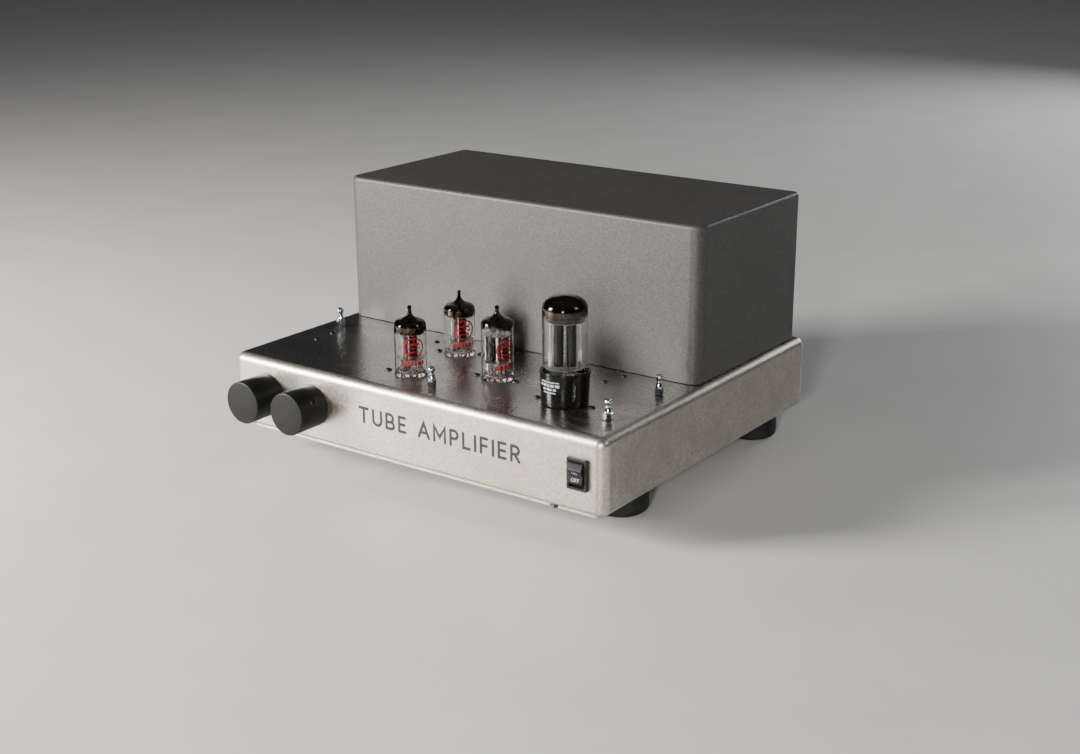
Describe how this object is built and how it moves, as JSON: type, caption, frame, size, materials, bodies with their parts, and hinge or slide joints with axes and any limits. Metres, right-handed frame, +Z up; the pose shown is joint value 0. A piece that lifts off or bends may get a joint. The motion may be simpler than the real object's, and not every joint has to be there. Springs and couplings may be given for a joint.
{
  "type": "tube amplifier",
  "caption": "Free-standing valve audio amplifier: folded brushed-steel chassis on rubber feet, plug-in glass tubes on top and a tall black transformer cover behind them.",
  "frame": {"origin": "on the shelf, at the centre of the whole part's footprint, under the feet", "axes": "+X to the right seen from the front, +Y to the rear panel, +Z up; the control panel faces -Y"},
  "size_m": [0.3174, 0.3174, 0.1823],
  "materials": {
    "steel": "bare folded steel, brushed along the width, satin with fine scuffs",
    "powder_coat": "black fine-texture powder coat",
    "chrome": "bright chrome plate",
    "rubber": "matt black moulded rubber",
    "black_plastic": "satin black moulding",
    "red_plastic": "gloss red moulding",
    "anodised": "black anodised aluminium, turned",
    "glass": "clear blown glass with a silvery getter flash at the crown",
    "electrode": "carbonised grey nickel plates with mica spacers",
    "bakelite": "polished black phenolic moulding",
    "laminations": "varnished steel laminations",
    "winding": "copper winding under amber insulating wrap",
    "board": "green fibreglass laminate",
    "capacitor": "dark blue heat-shrink sleeve",
    "cable": "grey insulated cable",
    "gold": "thin gold plate",
    "pot_metal": "plated steel can"
  },
  "bodies": {
    "enclosure": {"chassis": "steel", "bottom_cover": "steel", "transformer_cover": "powder_coat", "foot_front_left": "rubber", "foot_front_right": "rubber", "foot_back_left": "rubber", "foot_back_right": "rubber", "cage_stud_1": "chrome", "cage_stud_2": "chrome", "cage_stud_3": "chrome", "cage_stud_4": "chrome", "noval_socket_1": "bakelite", "noval_socket_2": "bakelite", "noval_socket_3": "bakelite", "octal_socket": "bakelite", "volume_potentiometer": "pot_metal", "selector_switch": "pot_metal", "power_switch_housing": "black_plastic", "mains_inlet": "black_plastic", "input_jack_left": "gold", "input_jack_right": "gold", "binding_post_1": "gold", "binding_post_2": "gold", "binding_post_3": "gold", "binding_post_4": "gold", "power_transformer_core": "laminations", "power_transformer_coil": "winding", "output_transformer_left_core": "laminations", "output_transformer_left_coil": "winding", "output_transformer_right_core": "laminations", "output_transformer_right_coil": "winding", "circuit_board": "board", "filter_capacitor_1": "capacitor", "filter_capacitor_2": "capacitor", "mains_wire": "cable", "signal_cable": "cable"},
    "small_tube_1": {"small_tube_1_glass": "glass", "small_tube_1_stem": "glass", "small_tube_1_electrodes": "electrode"},
    "small_tube_2": {"small_tube_2_glass": "glass", "small_tube_2_stem": "glass", "small_tube_2_electrodes": "electrode"},
    "small_tube_3": {"small_tube_3_glass": "glass", "small_tube_3_stem": "glass", "small_tube_3_electrodes": "electrode"},
    "power_tube": {"power_tube_base": "bakelite", "power_tube_glass": "glass", "power_tube_electrodes": "electrode"},
    "volume_control": {"volume_knob": "anodised", "volume_shaft": "chrome"},
    "selector_control": {"selector_knob": "anodised", "selector_shaft": "chrome"},
    "power_rocker": {"power_rocker": "black_plastic"},
    "fuse_drawer": {"fuse_drawer": "black_plastic"},
    "binding_post_1_cap": {"binding_post_1_cap": "red_plastic"},
    "binding_post_2_cap": {"binding_post_2_cap": "black_plastic"},
    "binding_post_3_cap": {"binding_post_3_cap": "red_plastic"},
    "binding_post_4_cap": {"binding_post_4_cap": "black_plastic"}
  },
  "joints": [
    {"name": "small_tube_1_pull", "type": "slide", "parent": "enclosure", "child": "small_tube_1", "axis": [0, 0, 1], "range_m": [0, 0.02]},
    {"name": "small_tube_2_pull", "type": "slide", "parent": "enclosure", "child": "small_tube_2", "axis": [0, 0, 1], "range_m": [0, 0.02]},
    {"name": "small_tube_3_pull", "type": "slide", "parent": "enclosure", "child": "small_tube_3", "axis": [0, 0, 1], "range_m": [0, 0.02]},
    {"name": "power_tube_pull", "type": "slide", "parent": "enclosure", "child": "power_tube", "axis": [0, 0, 1], "range_m": [0, 0.025]},
    {"name": "volume_turn", "type": "hinge", "parent": "enclosure", "child": "volume_control", "pos_m": [-0.126, -0.13335, 0.049], "axis": [0, -1, 0], "range_deg": [-150, 150]},
    {"name": "selector_turn", "type": "hinge", "parent": "enclosure", "child": "selector_control", "pos_m": [-0.084, -0.13335, 0.049], "axis": [0, -1, 0], "range_deg": [-45, 45]},
    {"name": "power_rocker_tilt", "type": "hinge", "parent": "enclosure", "child": "power_rocker", "pos_m": [0.1397, -0.13325, 0.049], "axis": [-1, 0, 0], "range_deg": [0, 20]},
    {"name": "fuse_drawer_slide", "type": "slide", "parent": "enclosure", "child": "fuse_drawer", "axis": [0, 1, 0], "range_m": [0, 0.018]},
    {"name": "binding_post_1_cap_turn", "type": "hinge", "parent": "enclosure", "child": "binding_post_1_cap", "pos_m": [-0.058, 0.13335, 0.049], "axis": [0, 1, 0], "range_deg": [0, 720]},
    {"name": "binding_post_2_cap_turn", "type": "hinge", "parent": "enclosure", "child": "binding_post_2_cap", "pos_m": [-0.039, 0.13335, 0.049], "axis": [0, 1, 0], "range_deg": [0, 720]},
    {"name": "binding_post_3_cap_turn", "type": "hinge", "parent": "enclosure", "child": "binding_post_3_cap", "pos_m": [0.003, 0.13335, 0.049], "axis": [0, 1, 0], "range_deg": [0, 720]},
    {"name": "binding_post_4_cap_turn", "type": "hinge", "parent": "enclosure", "child": "binding_post_4_cap", "pos_m": [0.022, 0.13335, 0.049], "axis": [0, 1, 0], "range_deg": [0, 720]}
  ]
}
